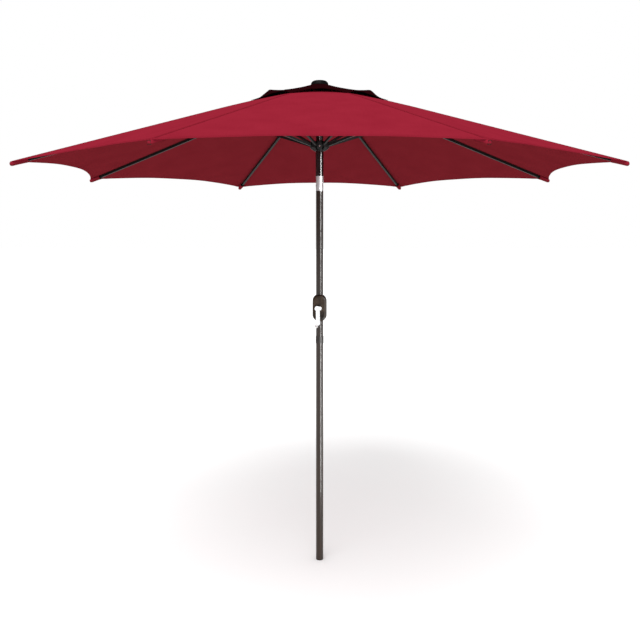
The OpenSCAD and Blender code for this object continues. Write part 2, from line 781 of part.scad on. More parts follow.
module vent_canopy() {
    rows = VENT_ROWS;
    around = RIBS * 6;
    function spot(i, j) =
        let (part = floor(j / 6), t = 2 * (j % 6) / 6 - 1,
             arch_h = part % (RIBS / 2) == 0 ? vent_side_arch : vent_arch,
             p = vent_point(i, t, arch_h), a = STEP * part)
        [p[0] * cos(a) - p[1] * sin(a), p[0] * sin(a) + p[1] * cos(a), p[2]];
    low = [for (i = [0:rows - 1], j = [0:around - 1]) spot(i, j)];
    top = [for (p = low) p + [0, 0, cloth_t]];
    n = rows * around;
    function at(i, j) = i * around + j % around;
    function quad(a, b, c, d) = [[a, b, c], [a, c, d]];
    faces = concat(
        [for (i = [0:rows - 2], j = [0:around - 1])
            each quad(at(i, j), at(i, j + 1), at(i + 1, j + 1), at(i + 1, j))],
        [for (i = [0:rows - 2], j = [0:around - 1])
            each quad(n + at(i, j), n + at(i + 1, j), n + at(i + 1, j + 1), n + at(i, j + 1))],
        [for (j = [0:around - 1])
            each quad(at(0, j), n + at(0, j), n + at(0, j + 1), at(0, j + 1))],
        [for (j = [0:around - 1])
            each quad(at(rows - 1, j), at(rows - 1, j + 1),
                      n + at(rows - 1, j + 1), n + at(rows - 1, j))]);
    color("#5c1822") polyhedron(concat(low, top), [for (f = faces) [f[2], f[1], f[0]]]);
}

// ---------------------------------------------------------------- nodes

lower_pole();
pole_end_plug();
pole_collar();
crank_pole();
housing_front();
housing_rear();
housing_screws();
shaft_bushings();
brake_spring();
crank_shaft();
cord_drum();
cord_winding();
crank_arm();
knob_rivet();
crank_knob();
lift_cord_lower();
tilt_lower_knuckle();
tilt_pin();
button_spring();
tilt_button();
tilt_upper_knuckle();
tilt_sleeve();
canopy_pole();
crown();
crown_pins();
cord_pulley();
pulley_pin();
finial();
vent_canopy();
lift_cord_upper();
lift_cord_drop();
runner();
cord_anchor();
for (k = [1:RIBS]) rib(k);
for (k = [1:RIBS]) strut(k);
for (k = [1:RIBS]) canopy_panel(k);
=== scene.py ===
# %% [markdown]
# # A market umbrella, dressed in cloth and finishes
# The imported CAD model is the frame: poles, hubs, ribs, struts and the crank are already
# in place and have the right shape. This lesson gives each of them a real finish, and
# replaces the plain cloth solids with sewn panels. Every length is in metres.

# %% Load the frame
import math

import bpy
import numpy as np
from mathutils import Matrix, Vector


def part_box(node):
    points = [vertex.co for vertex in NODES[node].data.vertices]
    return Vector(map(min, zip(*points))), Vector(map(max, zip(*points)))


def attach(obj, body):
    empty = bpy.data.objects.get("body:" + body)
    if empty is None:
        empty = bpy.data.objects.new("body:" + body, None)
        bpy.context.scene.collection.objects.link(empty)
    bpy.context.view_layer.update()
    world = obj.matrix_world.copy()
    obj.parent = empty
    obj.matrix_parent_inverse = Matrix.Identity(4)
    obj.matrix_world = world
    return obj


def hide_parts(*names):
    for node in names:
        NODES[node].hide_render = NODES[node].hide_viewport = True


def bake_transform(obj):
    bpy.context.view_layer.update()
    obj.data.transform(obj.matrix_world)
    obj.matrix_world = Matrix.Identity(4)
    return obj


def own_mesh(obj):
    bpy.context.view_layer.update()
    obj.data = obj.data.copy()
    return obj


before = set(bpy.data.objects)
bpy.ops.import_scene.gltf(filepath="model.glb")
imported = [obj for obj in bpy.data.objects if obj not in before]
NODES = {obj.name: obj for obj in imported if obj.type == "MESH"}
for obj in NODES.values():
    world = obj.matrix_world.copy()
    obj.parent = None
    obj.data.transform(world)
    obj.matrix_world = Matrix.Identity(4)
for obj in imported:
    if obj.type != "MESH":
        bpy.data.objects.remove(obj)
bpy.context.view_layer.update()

# %% [markdown]
# ## Sizes that the cloth shares with the frame
# A market umbrella's cloth lies on eight ribs. The ribs slope down from the crown and
# bend a little at the struts. The cloth is sewn to the same lines, so its shape is
# written from the same few sizes as the ribs, and then compared with the CAD cloth.

# %% Name the sizes
RIBS = 8
STEP = 2 * math.pi / RIBS            # from one rib to the next
HALF = STEP / 2
CANOPY_R = 1.5                       # from the pole to the end of a rib
CROWN_Z = 2.474                      # height of the rib pins
PIVOT_R = 0.034                      # from the pole to a rib pin
RIB_SLOPE = math.radians(16.3)       # from the crown to the strut
OUTER_SLOPE = math.radians(17.3)     # from the strut to the end of the rib
BRACE_L, BRACE_DROP = 0.49, 0.015    # rib pin to strut pin, and how far that hangs below
BRACE_X = math.sqrt(BRACE_L ** 2 - BRACE_DROP ** 2)
KINK_R = PIVOT_R + BRACE_X * math.cos(RIB_SLOPE)
KINK_Z = CROWN_Z - BRACE_X * math.sin(RIB_SLOPE)
OUTER_L = (CANOPY_R - KINK_R) / math.cos(OUTER_SLOPE)
CLOTH_INNER_R = 0.112                # where the cloth starts, below the vent
CLOTH_LIFT = 0.0096                  # from a rib's middle line to the cloth on it
CLOTH_T = 0.0012
HEM_INSET, HEM_SAG = 0.095, 0.006    # how far a hem is cut back, and how far it dips
EDGE_GAP = 0.0003                    # half the gap between two neighbours


def rib_azimuth(k):
    """Direction of rib k from the pole."""
    return STEP * (k - 1) + HALF


def panel_azimuth(k):
    """Direction of the middle of panel k from the pole."""
    return STEP * (k - 1)


def rib_line(r):
    """Height of a rib's middle line at radius r."""
    inner = CROWN_Z - (r - PIVOT_R) * math.tan(RIB_SLOPE)
    outer = KINK_Z - (r - KINK_R) * math.tan(OUTER_SLOPE)
    return np.where(r < KINK_R, inner, outer)


print("rib bends at", round(KINK_R, 4), "and its outer part is", round(OUTER_L, 4), "long")

# %% [markdown]
# ## A small language for finishes
# A finish is a tree of nodes. Written out node by node it is long and hard to read, so
# one class wraps a socket and lets Python's operators add the Math nodes. Any other node
# comes from one method, which takes its type, its settings and its sockets' values.


# %% The finish and its wires
class Wire:
    """A node's output. Arithmetic on it adds Math nodes."""

    def __init__(self, finish, socket):
        self.finish, self.socket = finish, socket

    def math(self, operation, *values):
        return self.finish.node(
            "ShaderNodeMath", {"operation": operation}, dict(enumerate(values)))

    def __add__(self, other):
        return self.math("ADD", self, other)

    def __sub__(self, other):
        return self.math("SUBTRACT", self, other)

    def __rsub__(self, other):
        return self.math("SUBTRACT", other, self)

    def __mul__(self, other):
        return self.math("MULTIPLY", self, other)

    __radd__, __rmul__ = __add__, __mul__


class Finish:
    """A material whose Principled shader starts with the given plain values."""

    def __init__(self, name, **plain):
        self.material = bpy.data.materials.new(name)
        self.material.use_nodes = True
        self.tree = self.material.node_tree
        self.tree.nodes.clear()
        self.shader = self.tree.nodes.new("ShaderNodeBsdfPrincipled")
        output = self.tree.nodes.new("ShaderNodeOutputMaterial")
        self.tree.links.new(self.shader.outputs["BSDF"], output.inputs["Surface"])
        self.feed({key.replace("_", " "): value for key, value in plain.items()})

    def put(self, socket, value):
        if isinstance(value, Wire):
            self.tree.links.new(value.socket, socket)
        elif socket.type == "RGBA" and len(value) == 3:
            socket.default_value = (*value, 1)
        else:
            socket.default_value = value

    def feed(self, values):
        for key, value in values.items():
            self.put(self.shader.inputs[key], value)

    def node(self, kind, settings=None, inputs=None, out=0):
        made = self.tree.nodes.new(kind)
        for key, value in (settings or {}).items():
            if key == "stops":
                while len(made.color_ramp.elements) < len(value):
                    made.color_ramp.elements.new(0.5)
                for stop, (place, colour) in zip(made.color_ramp.elements, value):
                    stop.position, stop.color = place, (*colour, 1)
            else:
                setattr(made, key, value)
        for key, value in (inputs or {}).items():
            self.put(made.inputs[key], value)
        return Wire(self, made.outputs[out])

    def blend(self, share, first, second):
        """A colour between first and second."""
        return self.node("ShaderNodeMix", {"data_type": "RGBA"},
                         {0: share, 6: first, 7: second}, out=2)

    def noise(self, place, scale, detail=3.0, rough=0.5):
        return self.node("ShaderNodeTexNoise", {}, {
            "Vector": place, "Scale": scale, "Detail": detail, "Roughness": rough})

    def stretch(self, place, factors):
        """The same place with each axis scaled on its own."""
        return self.node("ShaderNodeVectorMath", {"operation": "MULTIPLY"},
                         {0: place, 1: factors})

    def bump(self, height, distance, strength=1.0):
        return self.node("ShaderNodeBump", {}, {
            "Height": height, "Distance": distance, "Strength": strength})

    def wave(self, place):
        return self.node("ShaderNodeMath", {"operation": "SINE"}, {0: place})

    def share(self, value, low, high):
        """How far a value is from low to high, as 0 to 1."""
        return self.node("ShaderNodeMapRange", {}, {
            "Value": value, "From Min": low, "From Max": high})

    def axes(self, place):
        """The three parts of a place, each as a Wire."""
        parts = self.node("ShaderNodeSeparateXYZ", {}, {"Vector": place})
        return [Wire(self, socket) for socket in parts.socket.node.outputs]

    def object_place(self):
        return self.node("ShaderNodeTexCoord", out="Object")


print("finish language ready")

# %% [markdown]
# ## Powder coat
# The poles are steel tube with a baked powder coat, which is never quite smooth: it has
# a fine orange peel and tiny flakes. A noise in the bump gives the peel, and a finer
# one lightens a few specks of the colour.


# %% Powder coat
SPECK_SCALE, PEEL_SCALE, CLOUD_SCALE = 900.0, 420.0, 30.0
PEEL_DEPTH = 0.0002


def powder_coat(name, dark, light, rough, gloss, lacquer):
    coat = Finish(name, Specular_IOR_Level=gloss, Coat_Roughness=0.16)
    place = coat.object_place()
    specks = coat.noise(place, SPECK_SCALE, 2.0)
    clouds = coat.noise(coat.stretch(place, (1, 1, 0.15)), CLOUD_SCALE, 3.0)
    share = coat.share(specks * 0.7 + clouds * 0.3, 0.42, 0.72)
    peel = coat.noise(place, PEEL_SCALE, 2.0)
    coat.feed({
        "Base Color": coat.blend(share, dark, light),
        "Roughness": rough + clouds * 0.12,
        "Coat Weight": lacquer + specks * 0.1,
        "Normal": coat.bump(peel, PEEL_DEPTH, 0.35)})
    return coat.material


POLE_COAT = powder_coat("PoleBronze", (0.018, 0.0092, 0.0048), (0.046, 0.026, 0.015),
                        rough=0.34, gloss=0.2, lacquer=0.4)
TOP_POLE_COAT = powder_coat("TopPoleDark", (0.004, 0.003, 0.003), (0.011, 0.008, 0.007),
                            rough=0.3, gloss=0.2, lacquer=0.4)
RIB_COAT = powder_coat("RibDark", (0.004, 0.003, 0.003), (0.010, 0.008, 0.007),
                       rough=0.5, gloss=0.12, lacquer=0.0)
print("powder coats:", POLE_COAT.name, TOP_POLE_COAT.name, RIB_COAT.name)

# %% [markdown]
# ## Moulded plastic
# Crown, runner, finial, sleeve, housing, knob and drum are injection moulded. Moulded
# plastic shows a fine grain from the mould and soft flow clouds; on the housing the light
# tone of those clouds is painted highlight. Gloss differs from piece to piece, so one
# function takes the colours, the roughness, the grain and the shine of a polished mould.


# %% Moulded plastic
FLOW_SCALE, GRAIN_SCALE = 45.0, 1500.0
GRAIN_DEPTH = 0.00012


def moulded(name, dark, light, rough, grain=0.3, shine=0.0, gloss=0.4):
    plastic = Finish(name, Specular_IOR_Level=gloss, Coat_Roughness=0.12)
    place = plastic.object_place()
    flow_and_sheen = plastic.noise(plastic.stretch(place, (1, 1, 0.4)), FLOW_SCALE, 4.0, 0.6)
    skin = plastic.noise(place, GRAIN_SCALE, 2.0)
    plastic.feed({
        "Base Color": plastic.blend(plastic.share(flow_and_sheen, 0.35, 0.7), dark, light),
        "Roughness": rough + flow_and_sheen * 0.14,
        "Coat Weight": shine + skin * 0.05,
        "Normal": plastic.bump(skin, GRAIN_DEPTH, grain)})
    return plastic.material


HUB_BLACK = moulded("HubBlack", (0.004, 0.004, 0.004), (0.009, 0.008, 0.008),
                    rough=0.5, gloss=0.12)
SLEEVE_BLACK = moulded("SleeveBlack", (0.004, 0.004, 0.004), (0.009, 0.009, 0.009),
                       rough=0.14, grain=0.12, shine=0.6)
# The light tan of its flow clouds is painted highlight, mottled at random.
HOUSING_BRONZE_AND_SHEEN = moulded("HousingBronzeAndSheen", (0.010, 0.0062, 0.0040), (0.078, 0.053, 0.034),
                         rough=0.42, grain=0.8, gloss=0.1)
COLLAR_BRONZE = moulded("CollarBronze", (0.012, 0.008, 0.006), (0.030, 0.020, 0.015),
                        rough=0.4)
DRUM_WHITE = moulded("DrumWhite", (0.58, 0.55, 0.48), (0.70, 0.67, 0.60), rough=0.40)
KNOB_WHITE = moulded("KnobWhite", (0.76, 0.76, 0.74), (0.86, 0.86, 0.84),
                     rough=0.22, grain=0.2, shine=0.4)
print("six moulded plastics")

# %% [markdown]
# ## Bare metal
# The crank and the tilt hinge are cast and tumbled: bright, with a soft mottled skin.
# Pins, rivets and screws are turned steel. A long thin noise gives the turning lines,
# and a coarse one the stains that handling leaves.


# %% Bare metal
STAIN_SCALE, STREAK_SCALE = 60.0, 700.0
STREAK_DEPTH = 0.0001


def bare_metal(name, dark, light, rough, lines=(1.0, 1.0, 1.0)):
    metal = Finish(name, Metallic=1.0)
    place = metal.object_place()
    stains = metal.noise(place, STAIN_SCALE, 4.0, 0.6)
    streaks = metal.noise(metal.stretch(place, lines), STREAK_SCALE, 2.0)
    metal.feed({
        "Base Color": metal.blend(stains, dark, light),
        "Roughness": rough + stains * 0.16 + streaks * 0.08,
        "Normal": metal.bump(streaks, STREAK_DEPTH, 0.3)})
    return metal.material


CAST_SILVER = bare_metal("CastSilver", (0.55, 0.56, 0.57), (0.78, 0.79, 0.80), rough=0.32)
HINGE_SILVER = bare_metal("HingeSilver", (0.50, 0.51, 0.52), (0.74, 0.75, 0.76),
                          rough=0.26, lines=(1.0, 1.0, 0.06))
TURNED_STEEL = bare_metal("TurnedSteel", (0.50, 0.50, 0.50), (0.72, 0.72, 0.71),
                          rough=0.18, lines=(1.0, 0.1, 1.0))
SPRING_STEEL = bare_metal("SpringSteel", (0.20, 0.20, 0.21), (0.34, 0.35, 0.36), rough=0.34)
print("four bare metals")

# %% [markdown]
# ## Lift cord
# The cord is a round braid. Two sets of strands cross at a slant, so the bump is the
# higher of two slanted sines, and the hollows between the strands get painted shade.


# %% Braided cord finish
BRAID_ALONG, BRAID_ACROSS = 2600, 1500    # radians of wave in a metre


def braid(name, dark, light):
    cord = Finish(name, Roughness=0.8, Sheen_Weight=0.3, Sheen_Roughness=0.4)
    x, _, z = cord.axes(cord.object_place())
    along, across = z * BRAID_ALONG, x * BRAID_ACROSS
    one_way, other_way = cord.wave(along + across), cord.wave(along - across)
    strands = cord.node("ShaderNodeMath", {"operation": "MAXIMUM"}, {0: one_way, 1: other_way})
    cord.feed({
        # The darker colour in the hollows between the strands is painted shade.
        "Base Color": cord.blend(strands * 0.5 + 0.5, dark, light),
        "Normal": cord.bump(strands, 0.0003, 0.6)})
    return cord.material


CORD_BRAID = braid("CordBraid", (0.42, 0.40, 0.36), (0.80, 0.78, 0.73))
print("cord braid ready")

# %% [markdown]
# ## Give the CAD nodes their finishes
# Each CAD node keeps its own shape, so only its material slot changes. One table says
# which pieces are made of what.

# %% Dress the frame
DRESSED = {
    POLE_COAT: ["lower_pole", "crank_pole"],
    TOP_POLE_COAT: ["canopy_pole"],
    RIB_COAT: [f"{part}_{k}" for part in ("rib", "strut") for k in range(1, RIBS + 1)],
    HUB_BLACK: ["crown", "runner", "finial", "pole_end_plug"],
    SLEEVE_BLACK: ["tilt_sleeve"],
    HOUSING_BRONZE_AND_SHEEN: ["housing_front", "housing_rear"],
    COLLAR_BRONZE: ["pole_collar"],
    DRUM_WHITE: ["cord_drum", "shaft_bushings", "cord_pulley"],
    KNOB_WHITE: ["crank_knob"],
    CAST_SILVER: ["crank_arm"],
    HINGE_SILVER: ["tilt_lower_knuckle", "tilt_upper_knuckle", "tilt_button"],
    TURNED_STEEL: ["housing_screws", "crank_shaft", "knob_rivet", "tilt_pin", "crown_pins",
                   "pulley_pin", "cord_anchor"],
    SPRING_STEEL: ["brake_spring", "button_spring"],
    CORD_BRAID: ["lift_cord_lower", "lift_cord_upper", "cord_winding"],
}
for finish, names in DRESSED.items():
    for name in names:
        NODES[name].data.materials.clear()
        NODES[name].data.materials.append(finish)
print(sum(len(names) for names in DRESSED.values()), "nodes dressed")

# %% [markdown]
# ## Woven canopy cloth
# The canopy is a plain-woven polyester. Close up it shows threads over and under each
# other; from further off it shows slubs, which are long faint streaks where a thread is
# thicker, and slightly uneven dye. Each panel carries its own map in metres, across and
# along the panel, so that the threads run straight on every panel.


# %% Cloth finish
THREAD = 2 * math.pi / 0.0011     # radians in a metre, for threads 1.1 mm apart
SLUB_LONG, SLUB_THIN = 1.5, 60    # stretch of the noise along a slub and across it
WEAVE_DEPTH = 0.00025


def woven(name, deep, bright, rough=0.74):
    cloth = Finish(name, Specular_IOR_Level=0.0)
    place = cloth.node("ShaderNodeUVMap", {"uv_map": "Thread"})
    across, along, _ = cloth.axes(place)
    weft, warp = cloth.wave(across * THREAD), cloth.wave(along * THREAD)
    weft_slubs = cloth.noise(cloth.stretch(place, (SLUB_LONG, SLUB_THIN, 1)), 5.0, 3.0)
    warp_slubs = cloth.noise(cloth.stretch(place, (SLUB_THIN, SLUB_LONG, 1)), 5.0, 3.0)
    slubs = weft_slubs * 0.5 + warp_slubs * 0.5
    dye = cloth.noise(place, 7.0, 4.0)
    share = cloth.share(slubs * 0.5 + dye * 0.5, 0.36, 0.64)
    cloth.feed({
        "Base Color": cloth.blend(share, deep, bright),
        "Roughness": rough + slubs * 0.12,
        "Normal": cloth.bump(weft * warp * 0.5 + slubs, WEAVE_DEPTH, 0.3)})
    return cloth.material


CANOPY_RED = woven("CanopyRed", (0.212, 0.0110, 0.0235), (0.240, 0.0140, 0.0285))
# The underside is the same cloth painted darker: painted shade for the shaded underside.
CANOPY_UNDERSIDE_PAINTED_SHADE = woven("CanopyUndersidePaintedShade", (0.136, 0.0105, 0.0155),
                         (0.156, 0.0128, 0.0185), rough=0.8)
# A little darker than the panels: painted shade along the seam.
SEAM_RED_PAINTED_SHADE = woven("SeamRedPaintedShade", (0.200, 0.0100, 0.0215), (0.226, 0.0128, 0.0262))
VENT_DARK = woven("VentDark", (0.010, 0.0010, 0.0016), (0.018, 0.0018, 0.0028))
THREAD_RED = woven("ThreadRed", (0.16, 0.008, 0.016), (0.19, 0.010, 0.020), rough=0.6)
print("cloth finishes ready")

# %% [markdown]
# ## Sheets with a thickness
# Sewn cloth is thin but not paper: its edge shows. Each panel is made as a grid of
# points, and a second grid one cloth thickness above, joined round the rim. That gives
# one closed mesh, which a solidify modifier would also do, but a hem can be thicker this
# way and the upper and lower faces can have finishes of their own.


# %% Build a closed sheet
UPPER, UNDER, STITCH = 0, 1, 2    # places in a sewn piece's list of finishes


def unit(v):
    return v / np.linalg.norm(v, axis=-1, keepdims=True)


def sheet_parts(lower, upper, thread):
    """Points, faces, face finishes and thread places of a closed sheet between two grids."""
    rows, columns, _ = lower.shape
    n = rows * columns
    index = np.arange(n).reshape(rows, columns)
    quads = np.stack([index[:-1, :-1], index[1:, :-1], index[1:, 1:], index[:-1, 1:]], -1)
    quads = quads.reshape(-1, 4)
    rim = np.concatenate([index[0, :-1], index[:-1, -1], index[-1, :0:-1], index[:0:-1, 0]])
    ahead = np.roll(rim, -1)
    walls = np.stack([rim, ahead, ahead + n, rim + n], -1)
    points = np.concatenate([lower.reshape(-1, 3), upper.reshape(-1, 3)])
    faces = np.concatenate([quads[:, ::-1], quads + n, walls])
    finishes = np.repeat([UNDER, UPPER, UPPER], [len(quads), len(quads), len(walls)])
    return points, faces, finishes, np.concatenate([thread.reshape(-1, 2)] * 2)


print("a closed sheet's finishes: upper", UPPER, "under", UNDER, "stitches", STITCH)

# %% Sew a row of stitches
STITCH_W, STITCH_H = 0.0009, 0.0006
STITCH_SUNK, STITCH_SLANT = 0.0001, 0.18    # how far it is let in, and how its ends lean


def stitch_parts(path, normals, length, gap):
    """Small raised stitches along a path of points, each a six-sided block."""
    steps = np.linalg.norm(np.diff(path, axis=0), axis=1)
    travelled = np.concatenate([[0], np.cumsum(steps)])
    starts = np.arange(gap, travelled[-1] - length - gap, length + gap)

    def at(distance, values):
        return np.stack([np.interp(distance, travelled, values[:, i]) for i in range(3)], -1)

    a, b = at(starts, path), at(starts + length, path)
    up = unit(at(starts + length / 2, normals))
    side = unit(np.cross(up, b - a)) * STITCH_W / 2
    sunk, raised = up * -STITCH_SUNK, up * STITCH_H
    inward = (b - a) * STITCH_SLANT
    corners = np.stack([
        a - side + sunk, a + side + sunk, b + side + sunk, b - side + sunk,
        a - side + inward + raised, a + side + inward + raised,
        b + side - inward + raised, b - side - inward + raised], 1)
    block = np.array([[3, 2, 1, 0], [4, 5, 6, 7], [0, 1, 5, 4], [1, 2, 6, 5],
                      [2, 3, 7, 6], [3, 0, 4, 7]])
    faces = (block[None] + 8 * np.arange(len(starts))[:, None, None]).reshape(-1, 4)
    return corners.reshape(-1, 3), faces


print("a stitch is", STITCH_W, "wide and", STITCH_H, "high")

# %% Put the parts of a sewn piece together
SHARP = math.radians(50)


class Sewing:
    """Gathers the parts of one sewn piece, then makes its object."""

    def __init__(self):
        self.points, self.faces, self.finishes, self.thread = [], [], [], []
        self.count = 0

    def add(self, points, faces, finishes, thread):
        self.points.append(points)
        self.faces.append(faces + self.count)
        self.finishes.append(finishes)
        self.thread.append(thread)
        self.count += len(points)

    def add_stitches(self, path, normals, length=0.004, gap=0.0025):
        points, faces = stitch_parts(path, normals, length, gap)
        self.add(points, faces, np.full(len(faces), STITCH), points[:, :2])

    def piece(self, name, finishes, place):
        points = np.concatenate(self.points)
        faces = np.concatenate(self.faces)
        mesh = bpy.data.meshes.new(name)
        mesh.from_pydata((points @ np.array(place)[:3, :3].T).tolist(), [], faces.tolist())
        mesh.polygons.foreach_set("material_index", np.concatenate(self.finishes))
        thread = np.concatenate(self.thread)[faces.ravel()]
        mesh.uv_layers.new(name="Thread").uv.foreach_set("vector", thread.ravel())
        for finish in finishes:
            mesh.materials.append(finish)
        mesh.shade_smooth()
        mesh.set_sharp_from_angle(angle=SHARP)
        made = bpy.data.objects.new(name, mesh)
        bpy.context.scene.collection.objects.link(made)
        return made


def turned(azimuth):
    return Matrix.Rotation(azimuth, 4, "Z")


def thread_map(grid):
    """A map in metres, across a panel and out from the pole."""
    return np.stack([grid[..., 1], grid[..., 0]], -1)


print("sheet builder ready")

# %% [markdown]
# ## The shape of a canopy panel
# A panel is a tall triangle between two ribs. Pulled tight, its hem isn't straight: it
# is cut back in a curve, so that the edge stays taut, and the cloth dips a little
# between the ribs. Small tension folds run in from the two corners, where the pockets
# pull on the rib ends, and die out towards the middle.


# %% Panel surface
FOLD_H, FOLD_REACH, FOLD_FROM = 0.0016, 0.16, 0.55    # folds at the two corners
RIPPLE_H = 0.0008                                     # soft waves all over


def panel_surface(s, t):
    """Points of a panel's lower face: s from the vent to the hem, t from rib to rib."""
    r = CLOTH_INNER_R + (CANOPY_R - CLOTH_INNER_R) * s
    bow = 1 - t * t
    inset = HEM_INSET * s ** 3 * bow
    rise = inset * math.tan(OUTER_SLOPE) / math.cos(HALF)
    sag = HEM_SAG * s * bow
    inward = 1 - np.abs(t)
    low_down = np.clip((s - FOLD_FROM) / (1 - FOLD_FROM), 0, 1) ** 2
    corner = np.exp(-(inward / FOLD_REACH) ** 2) * low_down
    folds = FOLD_H * corner * bow ** 0.5 * np.sin(34 * inward / (1.12 - s * 0.62))
    ripple = RIPPLE_H * bow * s * np.sin(9 * t + 4.2 * s) * np.sin(7.3 * s + 1.1)
    return np.stack([
        r * math.cos(HALF) - inset,
        t * (r * math.sin(HALF) - EDGE_GAP),
        rib_line(r) + CLOTH_LIFT + rise - sag + folds + ripple], -1)


def normals_of(grid):
    """Upward normals of a grid of points."""
    down = np.gradient(grid, axis=0)
    across = np.gradient(grid, axis=1)
    return unit(np.cross(down, across))


print("at the middle of its hem a panel stands", panel_surface(1.0, 0.0).round(4))

# %% Cut a panel with its hem
HEM_W = 0.020
HEM_RISE, HEM_DROP = 0.0007, 0.00042    # a turned hem stands proud above and below
HEM_FROM = 1 - HEM_W / (CANOPY_R - CLOTH_INNER_R)
ROWS = np.concatenate([np.linspace(0, HEM_FROM - 0.001, 44), np.linspace(HEM_FROM, 1, 5)])
COLUMNS = np.sin(np.linspace(-1, 1, 45) * math.pi / 2)
s, t = np.meshgrid(ROWS, COLUMNS, indexing="ij")
PANEL_MIDDLE = panel_surface(s, t)
PANEL_NORMALS = normals_of(PANEL_MIDDLE)
in_hem = (s >= HEM_FROM)[..., None]
PANEL_UPPER = PANEL_MIDDLE + PANEL_NORMALS * (CLOTH_T + HEM_RISE * in_hem)
PANEL_LOWER = PANEL_MIDDLE - PANEL_NORMALS * HEM_DROP * in_hem
cad_low, cad_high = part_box("canopy_panel_1")
print("panel is", PANEL_LOWER.min((0, 1)).round(4), PANEL_UPPER.max((0, 1)).round(4),
      "and its CAD solid", cad_low, cad_high)

# %% [markdown]
# ## Sew and fold the panels
# Each panel rides on its own CAD body, which swings down about the crown as the
# umbrella closes. The real cloth gathers in soft pleats between two ribs.


def grid_area(grid):
    """Area of a grid of points, as two triangles to each of its squares."""
    a, b = grid[1:, :-1] - grid[:-1, :-1], grid[:-1, 1:] - grid[:-1, :-1]
    c, d = grid[1:, :-1] - grid[1:, 1:], grid[:-1, 1:] - grid[1:, 1:]
    both = np.linalg.norm(np.cross(a, b), axis=-1) + np.linalg.norm(np.cross(c, d), axis=-1)
    return float(both.sum() / 2)


panel_area = grid_area(PANEL_UPPER)

# %% Make the eight panels
SHORT_OF_SEAM = 0.985
HEM_STITCH_ROWS = (HEM_FROM + 0.003, 1 - 0.002)
panels = []


def edge_path(row, lift):
    """Points along one row of the panel, lifted off its lower face."""
    point = panel_surface(np.full_like(COLUMNS, row), COLUMNS * SHORT_OF_SEAM)
    return point + np.array([0, 0, lift])


for k in range(1, RIBS + 1):
    sewing = Sewing()
    sewing.add(*sheet_parts(PANEL_LOWER, PANEL_UPPER, thread_map(PANEL_UPPER)))
    upward = np.tile([0.3, 0.0, 0.95], (len(COLUMNS), 1))
    for row in HEM_STITCH_ROWS:
        sewing.add_stitches(edge_path(row, CLOTH_T + HEM_RISE), upward)
        sewing.add_stitches(edge_path(row, -HEM_DROP), -upward)
    cloth = sewing.piece(f"canopy_cloth_{k}", [CANOPY_RED, CANOPY_UNDERSIDE_PAINTED_SHADE, THREAD_RED],
                         turned(panel_azimuth(k)))
    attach(cloth, f"panel_{k}")
    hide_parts(f"canopy_panel_{k}")
    panels.append(cloth)
print(len(panels), "panels of", len(panels[0].data.polygons), "faces")

# %% [markdown]
# ## Seams along the ribs
# Two panels meet over each rib in a flat-felled seam: a folded, doubled strip, painted a
# little darker as painted shade along the seam, with a row of stitches near each edge. It
# rides on the rib, so it hides the joint between the panels when the umbrella folds.

# %% Seam strips
SEAM_W = 0.015
SEAM_T = 0.0008
SEAM_GAP = 0.0003                                # clear of the panels below
SEAM_LINES = (-1, -0.7, -0.25, 0.25, 0.7, 1)     # places across half the strip's width
STITCHED_LINES = (1, 4)


def seam_grid(lift):
    """A strip over the meeting edges of two panels, seen with its rib along +X."""
    s = np.linspace(0.004, 0.998, 60)
    reach = (CLOTH_INNER_R + (CANOPY_R - CLOTH_INNER_R) * s) * math.sin(HALF)
    lines = []
    for share in SEAM_LINES:
        side = 1 if share > 0 else -1
        t = side * (1 - abs(share) * SEAM_W / 2 / reach)
        p = panel_surface(s, -t) @ np.array(Matrix.Rotation(side * HALF, 3, "Z")).T
        p[:, 2] += CLOTH_T + lift
        lines.append(p)
    return np.stack(lines, 1)


SEAM_LOWER, SEAM_UPPER = seam_grid(SEAM_GAP), seam_grid(SEAM_GAP + SEAM_T)
print("seam strip spans", SEAM_LOWER.min((0, 1)).round(4), SEAM_LOWER.max((0, 1)).round(4))

# %% Sew the eight seams
seams = []
for k in range(1, RIBS + 1):
    sewing = Sewing()
    sewing.add(*sheet_parts(SEAM_LOWER, SEAM_UPPER, thread_map(SEAM_UPPER)))
    for column in STITCHED_LINES:
        path = SEAM_UPPER[:, column]
        sewing.add_stitches(path, np.tile([0.29, 0, 0.957], (len(path), 1)))
    seam = sewing.piece(f"rib_seam_{k}", [SEAM_RED_PAINTED_SHADE, SEAM_RED_PAINTED_SHADE, THREAD_RED],
                        turned(rib_azimuth(k)))
    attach(seam, f"rib_{k}")
    seams.append(seam)
print(len(seams), "seams")

# %% [markdown]
# ## Pockets at the rib ends
# At each corner a sewn pocket holds the end of the rib. It is a short sleeve of doubled
# cloth, deeper at its mouth and closed round the rib's plastic cap. It is made as a row
# of rounded loops along the rib.


# %% Shape of a pocket
POCKET_L, POCKET_FROM = 0.0795, OUTER_L - 0.078
POCKET_TOP = 0.0092                       # above the rib's middle line
POCKET_DEPTH, MOUTH_DEPTH = 0.0098, 0.0022    # below it, and how much more at the mouth
POCKET_HALF_W, MOUTH_W = 0.0094, 0.0040
POCKET_SKIN = 0.001
BOXY = 2 / 3.2                            # 1 is a round loop, less is squarer
CLOSING = 0.86                            # where the rounded end begins
ROUND = np.linspace(0, 2 * math.pi, 29)


def along_rib(k, along, across, up):
    """Points given along the outer part of rib k, in the row frame."""
    place = (turned(rib_azimuth(k)) @ Matrix.Translation((KINK_R, 0, KINK_Z))
             @ Matrix.Rotation(OUTER_SLOPE, 4, "Y"))
    local = np.stack([along, across, up, np.ones_like(up)], -1)
    return (local @ np.array(place).T)[..., :3]


